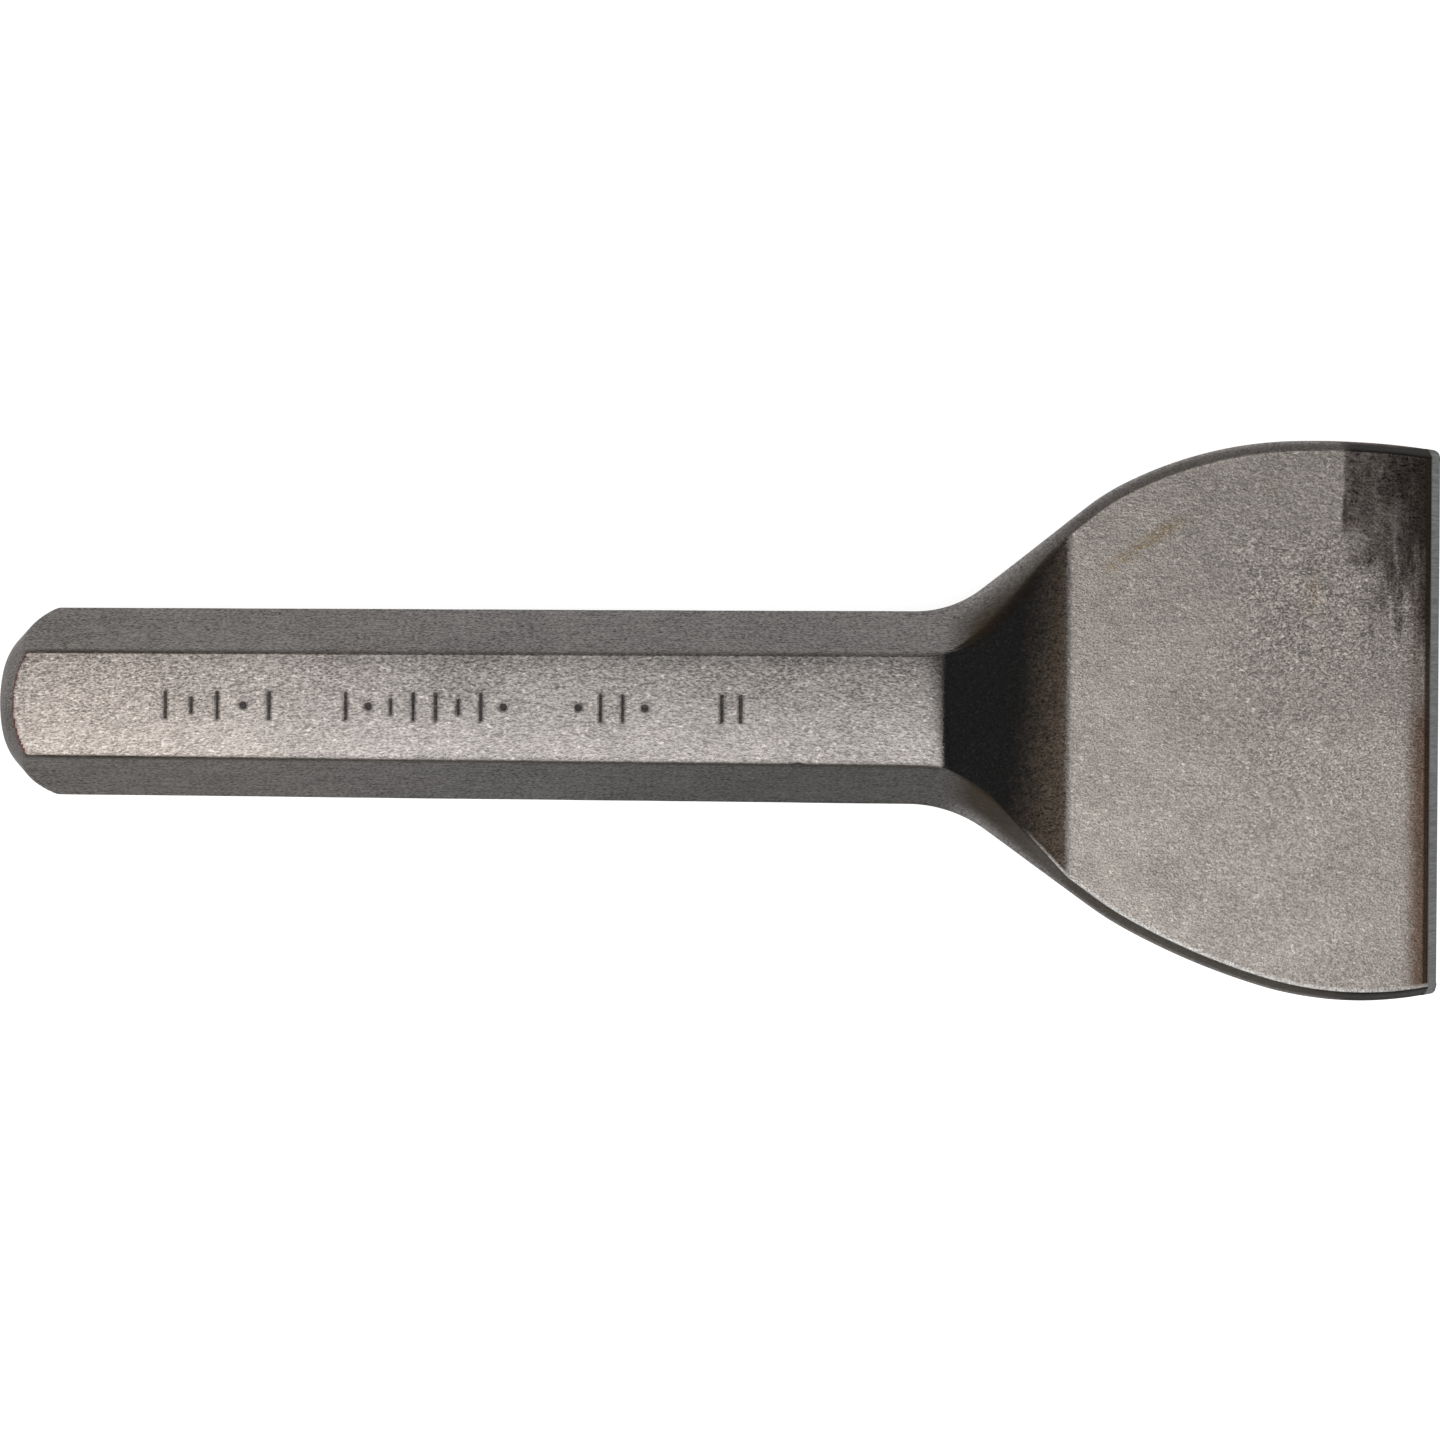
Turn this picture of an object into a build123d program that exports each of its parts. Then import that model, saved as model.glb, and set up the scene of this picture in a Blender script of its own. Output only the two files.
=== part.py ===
from build123d import *
from collections import namedtuple
import math
import os

# Brick bolster chisel: one steel forging, drawn from hexagonal bar, with a flared blade.
# The working frame has X along the shank from the striking end, at X = 0, to the
# cutting edge, Y across the blade, and Z through it, with Z = 0 at mid-thickness.
# The finished solid is moved so that its origin is the centre of its base.
# All sizes are in millimetres and all angles in degrees.

LENGTH = 196.7

# Shank: a six-sided bar with two pressed flats and a ridge down each side
SHANK_HALF_THICKNESS = 10.2
HEAD_HALF_WIDTH = 12.71
SHANK_TAPER_ANGLE = 0.2
FACET_LEAN = 30.0
RIDGE_RADIUS = 0.5
RIM_RADIUS = 0.4

# Plan outline of each side of the flare, as tangent arcs that follow the shank.
# The forging is a little uneven, so the two sides differ.
Arc = namedtuple("Arc", "radius turn")
Flare = namedtuple("Flare", "start blend straight shoulder cheek tip")
LEFT_FLARE = Flare(125.1, Arc(14.6, 38.2), 18.3, Arc(29.3, 11.1), Arc(55.1, 25.4), Arc(106.0, 10.2))
RIGHT_FLARE = Flare(124.3, Arc(18.0, 35.7), 17.4, Arc(44.6, 7.4), Arc(97.5, 11.8), Arc(47.8, 27.0))
TIP_CORNER_RADIUS = 1.5

# Side profile: flat, ramp, blade and ground bevel
FLAT_END = 128.2
SHOULDER_RADIUS = 2.0
CREASE = 145.7
CREASE_RADIUS = 1.2
BLADE_HALF_AT_CREASE = 2.5
BLADE_HALF_AT_BEVEL = 2.25
BEVEL_LENGTH = 1.7
EDGE_HALF_LAND = 0.15

# Striking end: one dome, from the middle out to the ridges
DOME_DEPTH = 7.9
DOME_RIM_RADIUS = 12.7

# Punch marks sunk into the upper flat, in groups of tall bars, short bars and round pips
MARK_DEPTH = 0.25
BAR_WIDTH = 0.6
TALL_BAR = 4.0
SHORT_BAR = 2.4
PIP_RADIUS = 0.6
MarkGroup = namedtuple("MarkGroup", "start pitch pattern")
MARK_GROUPS = (
    MarkGroup(24.6, 3.45, ("tall", "short", "tall", "pip", "tall")),
    MarkGroup(48.6, 3.0, ("tall", "pip", "short", "tall", "tall", "short", "tall", "pip")),
    MarkGroup(79.6, 2.95, ("pip", "tall", "tall", "pip")),
    MarkGroup(98.7, 2.5, ("tall", "tall")),
)

OVERRUN = 15.0                   # how far a blank runs past the finished solid
TOUCH = 0.1                      # how near an edge lies to the place it is picked by


def extend_by_arc(chain, arc, hand):
    """Continue a chain of edges with a tangent arc that turns left for hand = 1."""
    last = chain[-1]
    chain.append(JernArc(last @ 1, last % 1, arc.radius, hand * arc.turn))


def extend_by_line(chain, length):
    """Continue a chain of edges straight on."""
    last = chain[-1]
    chain.append(Line(last @ 1, last @ 1 + (last % 1) * length))


def flare_side(flare, side):
    """One side of the plan outline, run past both ends; side is 1 for +Y, -1 for -Y."""
    widening = math.tan(math.radians(SHANK_TAPER_ANGLE))
    start = (-OVERRUN, side * (HEAD_HALF_WIDTH - widening * OVERRUN))
    end = (flare.start, side * (HEAD_HALF_WIDTH + widening * flare.start))
    chain = [Line(start, end)]
    extend_by_arc(chain, flare.blend, side)
    extend_by_line(chain, flare.straight)
    extend_by_arc(chain, flare.shoulder, -side)
    extend_by_arc(chain, flare.cheek, -side)
    extend_by_arc(chain, flare.tip, -side)
    extend_by_line(chain, OVERRUN)
    return chain


def plan_face():
    """The plan outline, closed by straight lines past both ends."""
    left = flare_side(LEFT_FLARE, 1)
    right = flare_side(RIGHT_FLARE, -1)
    head = Line(left[0] @ 0, right[0] @ 0)
    tip = Line(left[-1] @ 1, right[-1] @ 1)
    return make_face(left + [tip] + right + [head])


def faceted_blank():
    """The plan outline with facets that lean in, above and below a worn ridge."""
    upper = extrude(plan_face(), amount=SHANK_HALF_THICKNESS + 1, taper=FACET_LEAN)
    blank = upper + mirror(upper, about=Plane.XY)
    ridges = blank.edges().filter_by_position(Axis.Z, -TOUCH, TOUCH)
    return fillet(ridges, RIDGE_RADIUS)


def fillet_corners_at(face, x, radius):
    """Round the two corners of the side profile that lie at one X."""
    corners = face.vertices().filter_by_position(Axis.X, x - TOUCH, x + TOUCH)
    return fillet(corners, radius)


def profile_blank():
    """The side profile, run right across the blade."""
    upper = (
        (-OVERRUN, SHANK_HALF_THICKNESS),
        (FLAT_END, SHANK_HALF_THICKNESS),
        (CREASE, BLADE_HALF_AT_CREASE),
        (LENGTH - BEVEL_LENGTH, BLADE_HALF_AT_BEVEL),
        (LENGTH, EDGE_HALF_LAND),
    )
    lower = [(x, -z) for x, z in reversed(upper)]
    face = make_face(Polyline(*upper, *lower, close=True))
    face = fillet_corners_at(face, FLAT_END, SHOULDER_RADIUS)
    face = fillet_corners_at(face, CREASE, CREASE_RADIUS)
    return extrude(Plane.XZ * face, amount=LENGTH / 2, both=True)


def head_blank():
    """A wide round bar with the domed striking end, which opens out behind the dome."""
    reach = LENGTH / 2
    sphere = (DOME_RIM_RADIUS**2 + DOME_DEPTH**2) / (2 * DOME_DEPTH)
    dome = RadiusArc((0, 0), (DOME_DEPTH, DOME_RIM_RADIUS), sphere)
    flank = DOME_RIM_RADIUS / (sphere - DOME_DEPTH)
    flank_end = (DOME_DEPTH + flank * (reach - DOME_RIM_RADIUS), reach)
    far_end = LENGTH + OVERRUN
    rest = Polyline(dome @ 1, flank_end, (far_end, reach), (far_end, 0), (0, 0))
    return revolve(make_face([dome, rest]), Axis.X)


def tip_blank():
    """An upright prism on the plan outline that rounds the blade's two corners."""
    prism = extrude(plan_face(), amount=OVERRUN, both=True)
    prism = split(prism, bisect_by=Plane.YZ.offset(LENGTH), keep=Keep.BOTTOM)
    uprights = prism.edges().filter_by(Axis.Z).group_by(Axis.X)[-1]
    return fillet(uprights, TIP_CORNER_RADIUS)


def soften_rims(blank):
    """Break the sharp edges where the flats, ramps and blade faces meet the facets."""
    rims = []
    for edge in blank.edges():
        middle = edge.center()
        on_face = abs(middle.Z) > BLADE_HALF_AT_BEVEL - TOUCH
        at_side = abs(middle.Y) > BLADE_HALF_AT_CREASE
        past_dome = DOME_DEPTH < middle.X < LENGTH - TOUCH
        if on_face and at_side and past_dome:
            rims.append(edge)
    return fillet(rims, RIM_RADIUS)


def punch(kind):
    """The cutter for one punch mark, centred on the surface it sinks into."""
    if kind == "pip":
        return Cylinder(PIP_RADIUS, 2 * MARK_DEPTH)
    height = TALL_BAR if kind == "tall" else SHORT_BAR
    return Box(BAR_WIDTH, height, 2 * MARK_DEPTH)


def punch_marks():
    """Every punch mark on the upper flat."""
    marks = []
    for group in MARK_GROUPS:
        for index, kind in enumerate(group.pattern):
            place = Pos(group.start + index * group.pitch, 0, SHANK_HALF_THICKNESS)
            marks.append(place * punch(kind))
    return marks


def forged_chisel():
    """The whole forging, with its origin at the centre of its base."""
    blank = faceted_blank() & profile_blank() & head_blank() & tip_blank()
    forging = soften_rims(blank) - punch_marks()
    box = forging.bounding_box()
    middle = box.center()
    return Pos(-middle.X, -middle.Y, -box.min.Z) * forging


chisel = forged_chisel()
os.makedirs("parts", exist_ok=True)
export_step(chisel, "parts/forged_chisel.step")
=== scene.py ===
import math
from collections import namedtuple

import bmesh
import bpy
import numpy as np
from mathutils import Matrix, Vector, noise


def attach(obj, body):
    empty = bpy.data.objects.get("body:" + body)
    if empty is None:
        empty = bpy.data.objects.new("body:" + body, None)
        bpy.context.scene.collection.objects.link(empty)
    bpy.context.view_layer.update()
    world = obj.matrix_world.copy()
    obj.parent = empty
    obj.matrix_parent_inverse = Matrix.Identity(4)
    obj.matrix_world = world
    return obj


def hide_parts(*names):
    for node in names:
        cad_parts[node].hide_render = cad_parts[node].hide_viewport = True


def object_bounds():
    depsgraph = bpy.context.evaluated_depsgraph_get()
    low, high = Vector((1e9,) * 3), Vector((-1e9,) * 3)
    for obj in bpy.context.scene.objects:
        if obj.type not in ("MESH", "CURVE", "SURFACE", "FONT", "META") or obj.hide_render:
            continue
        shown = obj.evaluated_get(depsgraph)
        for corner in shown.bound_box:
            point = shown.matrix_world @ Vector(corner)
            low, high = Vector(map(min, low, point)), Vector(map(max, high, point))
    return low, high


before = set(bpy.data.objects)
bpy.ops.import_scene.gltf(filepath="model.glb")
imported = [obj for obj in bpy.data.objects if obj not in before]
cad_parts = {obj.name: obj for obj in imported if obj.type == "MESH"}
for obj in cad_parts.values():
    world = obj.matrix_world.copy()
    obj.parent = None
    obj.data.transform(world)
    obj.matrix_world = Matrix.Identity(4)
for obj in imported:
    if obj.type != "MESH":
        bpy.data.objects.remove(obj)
CAD_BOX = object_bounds()

# The forging is drawn in millimetres, with X along the shank from the striking end,
# Y across the blade from the shank's axis, and Z from mid-thickness. A pair whose name ends
# in an axis says where along it something begins and where it is full.
MM = 0.001
LENGTH = (CAD_BOX[1].x - CAD_BOX[0].x) / MM
HALF_THICKNESS = (CAD_BOX[1].z - CAD_BOX[0].z) / MM / 2
HEAD_X = CAD_BOX[0].x / MM
MID_Z = (CAD_BOX[0].z + CAD_BOX[1].z) / MM / 2

HEAD_HALF_WIDTH = 12.71
SHANK_TAPER_ANGLE = 0.2
FACET_LEAN = 30.0
RIDGE_RADIUS = 0.5
RIM_RADIUS = 0.4
Arc = namedtuple("Arc", "radius turn")
Flare = namedtuple("Flare", "start blend straight shoulder cheek tip")
LEFT_FLARE = Flare(
    125.1, Arc(14.6, 38.2), 18.3, Arc(29.3, 11.1), Arc(55.1, 25.4), Arc(106.0, 10.2)
)
RIGHT_FLARE = Flare(
    124.3, Arc(18.0, 35.7), 17.4, Arc(44.6, 7.4), Arc(97.5, 11.8), Arc(47.8, 27.0)
)
TIP_CORNER_RADIUS = 1.5

FLAT_END = 128.2
FLAT_END_BOW = 0.5  # the flat ends in a slight bow, this much longer at its sides
BOW_REACH = 7.0  # which lie this far from the shank's axis
BOW_START = FLAT_END - 1.5
BOW_END = FLAT_END + 9.0  # the bow dies away down the ramp
CREASE = 145.7
BLADE_HALF_AT_CREASE = 2.5
BLADE_HALF_AT_BEVEL = 2.25
BEVEL_LENGTH = 1.7
BEVEL_START = LENGTH - BEVEL_LENGTH
EDGE_HALF_LAND = 0.15

DOME_DEPTH = 7.9
DOME_RIM_RADIUS = 12.7
DOME_SPHERE = (DOME_RIM_RADIUS**2 + DOME_DEPTH**2) / (2 * DOME_DEPTH)
HEAD_WEAR = 0.42  # hammering has beaten the dome back this far
HEAD_WEAR_X = (DOME_DEPTH, 0.4 * DOME_DEPTH)
HEAD_SHOULDER = 0.20  # and has left a low shoulder round its middle
HEAD_SHOULDER_RISE_X = (0.6, 1.7)
HEAD_SHOULDER_FALL_X = (4.0, 2.2)

MARK_DEPTH = 0.25
BAR_WIDTH = 0.6
TALL_BAR = 4.0
SHORT_BAR = 2.4
PIP_RADIUS = 0.6
MarkGroup = namedtuple("MarkGroup", "start pitch pattern")
MARK_GROUPS = (
    MarkGroup(24.6, 3.45, ("tall", "short", "tall", "pip", "tall")),
    MarkGroup(48.6, 3.0, ("tall", "pip", "short", "tall", "tall", "short", "tall", "pip")),
    MarkGroup(79.6, 2.95, ("pip", "tall", "tall", "pip")),
    MarkGroup(98.7, 2.5, ("tall", "tall")),
)


# -------- small maths

def soft_min(a, b, width):
    """The smaller of a and b, with the corner between them rounded over a width."""
    blend = np.clip(0.5 + 0.5 * (b - a) / width, 0.0, 1.0)
    return b + (a - b) * blend - width * blend * (1.0 - blend)


def soft_max(a, b, width):
    """The larger of a and b, with the corner between them rounded over a width."""
    return -soft_min(-a, -b, width)


def smooth_step(low, high, value):
    """0 at low and 1 at high, eased between them; low may be the larger."""
    t = np.clip((value - low) / (high - low), 0.0, 1.0)
    return t * t * (3.0 - 2.0 * t)


# -------- plan outline

TRACE_STEP = 0.15
TRACE_OVERRUN = 15.0


class Trace:
    """A pen that draws one side of the plan outline as close points with headings."""

    def __init__(self, x, y, heading):
        self.x, self.y, self.heading = x, y, heading
        self.rows = [(x, y, heading)]

    def forward(self, length, turn=0.0):
        """Move on by a length while turning evenly by an angle in radians."""
        steps = max(2, math.ceil(length / TRACE_STEP))
        for _ in range(steps):
            middle = self.heading + turn / steps / 2
            self.x += math.cos(middle) * length / steps
            self.y += math.sin(middle) * length / steps
            self.heading += turn / steps
            self.rows.append((self.x, self.y, self.heading))

    def arc(self, arc, hand):
        """Follow a tangent arc, outwards for hand = 1."""
        turn = math.radians(arc.turn)
        self.forward(arc.radius * turn, hand * turn)


def trace_side(flare):
    """One side of the plan outline, as distances from the shank's axis."""
    taper = math.radians(SHANK_TAPER_ANGLE)
    start_y = HEAD_HALF_WIDTH - math.tan(taper) * TRACE_OVERRUN
    pen = Trace(-TRACE_OVERRUN, start_y, taper)
    pen.forward((flare.start + TRACE_OVERRUN) / math.cos(taper))
    pen.arc(flare.blend, 1)
    pen.forward(flare.straight)
    pen.arc(flare.shoulder, -1)
    pen.arc(flare.cheek, -1)
    pen.arc(flare.tip, -1)
    pen.forward(TRACE_OVERRUN)
    return np.array(pen.rows)


def side_max(trace):
    """The widest reach of one side from the shank's axis, up to the cutting edge."""
    within = trace[trace[:, 0] <= LENGTH]
    ridge_wear = RIDGE_RADIUS * (1 / math.cos(math.radians(FACET_LEAN)) - 1)
    return float(within[:, 1].max()) - ridge_wear


LEFT_TRACE = trace_side(LEFT_FLARE)
RIGHT_TRACE = trace_side(RIGHT_FLARE)
AXIS_Y = CAD_BOX[0].y / MM + side_max(RIGHT_TRACE)


def side_width(trace, x, height):
    """Distance from the axis to a side facet, at one X and one height off the ridge."""
    inset = height * math.tan(math.radians(FACET_LEAN))
    inset_x = trace[:, 0] + np.sin(trace[:, 2]) * inset
    inset_y = trace[:, 1] - np.cos(trace[:, 2]) * inset
    return float(np.interp(x, inset_x, inset_y))


def corner_limit(trace, x):
    """How far out the rounded corner of the cutting edge lets a side reach."""
    centre_x = LENGTH - TIP_CORNER_RADIUS
    if x <= centre_x:
        return math.inf
    centre_y = side_width(trace, centre_x, 0.0) - TIP_CORNER_RADIUS
    rise = max(0.0, TIP_CORNER_RADIUS**2 - (x - centre_x) ** 2)
    return centre_y + math.sqrt(rise)


# -------- side profile

SHOULDER_BLEND = 0.35
CREASE_BLEND = 0.25
BEVEL_BLEND = 0.30


def half_thickness(x, across=0.0):
    """Half the thickness at one X, for the flats, ramps, blade and ground bevel."""
    fading = smooth_step(BOW_END, FLAT_END, x)
    bow = FLAT_END_BOW * (across / BOW_REACH) ** 2 * fading
    ramp_slope = (HALF_THICKNESS - BLADE_HALF_AT_CREASE) / (CREASE - FLAT_END)
    ramp = HALF_THICKNESS - (x - FLAT_END - bow) * ramp_slope
    blade_slope = (BLADE_HALF_AT_CREASE - BLADE_HALF_AT_BEVEL) / (BEVEL_START - CREASE)
    blade = BLADE_HALF_AT_CREASE - (x - CREASE) * blade_slope
    bevel_slope = (BLADE_HALF_AT_BEVEL - EDGE_HALF_LAND) / BEVEL_LENGTH
    bevel = EDGE_HALF_LAND + (LENGTH - x) * bevel_slope
    half = soft_min(HALF_THICKNESS, ramp, SHOULDER_BLEND)
    half = soft_max(half, blade, CREASE_BLEND)
    return soft_min(half, bevel, BEVEL_BLEND)


def head_radius(x):
    """Radius of the domed striking end at one X; behind the dome it opens out."""
    if x < DOME_DEPTH:
        return math.sqrt(max(0.0, x * (2 * DOME_SPHERE - x)))
    flank = (DOME_SPHERE - DOME_DEPTH) / DOME_RIM_RADIUS
    return DOME_RIM_RADIUS + (x - DOME_DEPTH) * flank


# -------- cross-sections

TOP_SPACING = 0.5
BASE_SPACING = 0.7
FACET_SPACING = 0.85
COUNT_STEP = 8
RIM_STEPS = 6
RIDGE_STEPS = 4
LEAST_FACET_STEPS = 3
DOME_RINGS = 40
CORNER_SHARE = 0.45  # a rounding takes at most this share of each side beside it
NECK_RIM_RADII = (4.4, 0.6)  # on the left and the right side
NECK_RIM_RISE_X = (FLAT_END, FLAT_END + 8.0)
NECK_RIM_FALL_X = (CREASE + 1.5, CREASE - 4.0)
HEAD_REACH = DOME_DEPTH + 2.5  # the sections as far as this are drawn in to the dome
HEAD_BLEND = 0.25
LEAST_BLEND = 1e-3
HEAD_MIDDLE = 2.2  # the dome is truly round at its tip and less so from here
HEAD_SQUARING = 0.057
HEAD_CORNERING = 0.028
ON_FACE = 0.05  # a point this near to a face's height lies on that face
TINY = 1e-6  # keeps a division away from zero

# The twelve stretches of a section, counted from the ridge at the -Y side
TOP_STRETCH = 3
FACET_STRETCHES = (1, 5, 7, 11)
RIM_STRETCHES = {2: 1, 4: -1, 8: 1, 10: -1}  # 1 where the rim runs from facet to face
UPPER_RIGHT_RIM = 2
UPPER_STRETCHES = 6


def rim_radius(x, neck_radius):
    """Rounding of a long edge: tight on the shank and blade, and rolled in the neck."""
    rise = smooth_step(*NECK_RIM_RISE_X, x)
    fall = smooth_step(*NECK_RIM_FALL_X, x)
    return RIM_RADIUS + (neck_radius - RIM_RADIUS) * rise * fall


def spaced(length, spacing, least):
    """A number of steps for a length, rounded up so that it changes in few places."""
    return max(least, COUNT_STEP * math.ceil(length / spacing / COUNT_STEP))


def rounded_corner(before, corner, after, radius, steps):
    """Points round one corner of a section, from tangent point to tangent point."""
    into = corner - before
    out_of = after - corner
    room = CORNER_SHARE * min(np.hypot(*into), np.hypot(*out_of))
    into = into / np.hypot(*into)
    out_of = out_of / np.hypot(*out_of)
    turn = math.acos(np.clip(into @ out_of, -1.0, 1.0))
    radius = min(radius, room / math.tan(turn / 2))
    tangent = radius * math.tan(turn / 2)
    inward = (out_of - into) / np.hypot(*(out_of - into))
    centre = corner + inward * radius / math.cos(turn / 2)
    start = corner - into * tangent - centre
    hand = math.copysign(1.0, into[0] * out_of[1] - into[1] * out_of[0])
    points = []
    for step in range(steps + 1):
        angle = hand * turn * step / steps
        cos, sin = math.cos(angle), math.sin(angle)
        turned = (cos * start[0] - sin * start[1], sin * start[0] + cos * start[1])
        points.append(centre + np.array(turned))
    return points


def section(x):
    """The closed section at one X: (y, z) points, and how many steps each stretch has."""
    half = half_thickness(x)
    left, right = side_width(LEFT_TRACE, x, 0.0), side_width(RIGHT_TRACE, x, 0.0)
    left_rim, right_rim = side_width(LEFT_TRACE, x, half), side_width(RIGHT_TRACE, x, half)
    corners = [
        (-right, 0.0), (-right_rim, half), (left_rim, half),
        (left, 0.0), (left_rim, -half), (-right_rim, -half),
    ]
    corners = [np.array(c) for c in corners]
    sides = len(corners)
    left_roll, right_roll = [rim_radius(x, radius) for radius in NECK_RIM_RADII]
    radii = [RIDGE_RADIUS, right_roll, left_roll, RIDGE_RADIUS, left_roll, right_roll]
    steps = [RIDGE_STEPS, RIM_STEPS, RIM_STEPS] * 2
    facet = max(LEAST_FACET_STEPS, round(np.hypot(left - left_rim, half) / FACET_SPACING))
    top = spaced(left_rim + right_rim, TOP_SPACING, 3 * COUNT_STEP)
    base = spaced(left_rim + right_rim, BASE_SPACING, 2 * COUNT_STEP)
    straights = [facet, top, facet, facet, base, facet]
    arcs = []
    for index, corner in enumerate(corners):
        before, after = corners[index - 1], corners[(index + 1) % sides]
        arcs.append(rounded_corner(before, corner, after, radii[index], steps[index]))
    points, counts = [], []
    for index in range(sides):
        arc, following = arcs[index], arcs[(index + 1) % sides]
        points += arc[:-1]
        counts.append(steps[index])
        for step in range(straights[index]):
            points.append(arc[-1] + (following[0] - arc[-1]) * step / straights[index])
        counts.append(straights[index])
    return np.array(points), counts


def limit_to_head(points, x):
    """Draw a section in to the domed striking end."""
    radius = np.hypot(points[:, 0], points[:, 1])
    upright = np.abs(points[:, 1]) / np.maximum(radius, TINY)
    squaring = HEAD_SQUARING * upright**2
    cornering = HEAD_CORNERING * 4.0 * upright**2 * (1.0 - upright**2)  # most at 45 degrees
    away_from_tip = smooth_step(0.0, HEAD_MIDDLE, x)
    limit = head_radius(x) * (1.0 + (squaring + cornering) * away_from_tip)
    blend = HEAD_BLEND * away_from_tip + LEAST_BLEND
    return points * (soft_min(radius, limit, blend) / np.maximum(radius, TINY))[:, None]


def worn_place(x):
    """Where hammering has moved the section at one X of the unworn dome."""
    beaten = HEAD_WEAR * smooth_step(*HEAD_WEAR_X, x)
    rise, fall = smooth_step(*HEAD_SHOULDER_RISE_X, x), smooth_step(*HEAD_SHOULDER_FALL_X, x)
    shoulder = HEAD_SHOULDER * rise * fall
    return x + beaten - shoulder


def limit_to_tip(points, x):
    """Draw a section in to the rounded corners of the cutting edge."""
    high, low = corner_limit(LEFT_TRACE, x), -corner_limit(RIGHT_TRACE, x)
    points[:, 0] = np.clip(points[:, 0], low, high)
    return points


def bow_flat_end(points, x):
    """Let the end of each shank flat bow a little towards the blade at its sides."""
    if not BOW_START < x < BOW_END:
        return points
    plain = half_thickness(x)
    for row in points:
        if abs(row[1]) > plain - ON_FACE:
            bowed = half_thickness(x, row[0])
            row[1] = math.copysign(bowed, row[1])
    return points


def stations():
    """Where the sections are taken: closest at the ends, the crease and the bevel."""
    widest = math.asin(DOME_RIM_RADIUS / DOME_SPHERE)
    turns = [widest * step / DOME_RINGS for step in range(1, DOME_RINGS)]
    places = [DOME_SPHERE * (1 - math.cos(turn)) for turn in turns]
    stretches = (  # from, to, spacing
        (DOME_DEPTH, DOME_DEPTH + 1.2, 0.25),
        (DOME_DEPTH + 1.2, 122.0, 0.62),
        (122.0, FLAT_END - 0.7, 0.5),
        (FLAT_END - 0.7, FLAT_END + 1.3, 0.16),
        (FLAT_END + 1.3, CREASE - 0.8, 0.42),
        (CREASE - 0.8, CREASE + 0.8, 0.16),
        (CREASE + 0.8, BEVEL_START - 1.0, 0.5),
        (BEVEL_START - 1.0, BEVEL_START + 0.4, 0.12),
        (BEVEL_START + 0.4, LENGTH, 0.16),
    )
    for low, high, spacing in stretches:
        count = max(1, round((high - low) / spacing))
        places += [low + (high - low) * step / count for step in range(count)]
    places.append(LENGTH)
    return places


def stitch(near, far):
    """Faces between two rows of vertices, which may have different numbers of steps."""
    steps_near, steps_far = len(near) - 1, len(far) - 1
    if steps_near == steps_far:
        return [(near[k], near[k + 1], far[k + 1], far[k]) for k in range(steps_near)]
    faces = []
    i = j = 0
    while i < steps_near or j < steps_far:
        near_next = (i + 1) / steps_near if i < steps_near else math.inf
        far_next = (j + 1) / steps_far if j < steps_far else math.inf
        if near_next <= far_next:
            faces.append((near[i], near[i + 1], far[j]))
            i += 1
        else:
            faces.append((near[i], far[j + 1], far[j]))
            j += 1
    return faces


def ring_rows(first, counts):
    """One section's vertex numbers by stretch, from its first; neighbours share their ends."""
    ring = list(range(first, first + sum(counts))) + [first]
    rows = []
    start = 0
    for count in counts:
        rows.append(ring[start:start + count + 1])
        start += count
    return rows


def joined(rows):
    """The vertex numbers of several stretches in a row, without the last one's end."""
    return [index for row in rows for index in row[:-1]]


def close_tip(ring):
    """Faces from the dome's tip, which is vertex 0, to the first section."""
    around = joined(ring)
    return [(0, index, following) for index, following in zip(around, around[1:] + around[:1])]


def close_edge(ring):
    """Faces across the last section, between its upper and lower halves."""
    upper = joined(ring[:UPPER_STRETCHES]) + [ring[UPPER_STRETCHES][0]]
    lower = joined(ring[UPPER_STRETCHES:]) + [ring[-1][-1]]
    faces = []
    for face in stitch(upper, lower[::-1]):
        corners = tuple(dict.fromkeys(face))
        if len(corners) > 2:
            faces.append(corners)
    return faces


def build_forging():
    """All sections joined: vertices, faces, and each vertex's place round its section."""
    vertices = [(worn_place(0.0), 0.0, 0.0)]
    places = [TOP_STRETCH]
    rings = []
    for x in stations():
        points, counts = section(x)
        points = bow_flat_end(points, x)
        if x < HEAD_REACH:
            points = limit_to_head(points, x)
        if x > LENGTH - TIP_CORNER_RADIUS:
            points = limit_to_tip(points, x)
        rings.append(ring_rows(len(vertices), counts))
        vertices += [(worn_place(x), y, z) for y, z in points]
        for stretch, count in enumerate(counts):
            places += [stretch + step / count for step in range(count)]
    faces = close_tip(rings[0])
    for near, far in zip(rings, rings[1:]):
        for near_row, far_row in zip(near, far):
            faces += stitch(near_row, far_row)
    return vertices, faces + close_edge(rings[-1]), places


# -------- punch marks

MARK_WALL = 0.22
MARK_CORNER = 0.25
MARK_BURR = 0.03
MARK_BURR_WIDTH = 0.12
MARK_BURR_SHADE = 0.35
MARK_SHALLOWEST = 0.2  # points further than this below the flat take no mark
MARK_MARGIN = 0.9
MARK_MARGIN_ACROSS = 0.6  # the same across the flat, as a share of the margin
MARK_CUTS = 3
FAR = 10.0  # further from a mark than any of its effects reach


def mark_places():
    """The kind of every punch mark, and its X on the shank's axis."""
    places = []
    for group in MARK_GROUPS:
        for index, kind in enumerate(group.pattern):
            places.append((kind, group.start + index * group.pitch))
    return places


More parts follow.
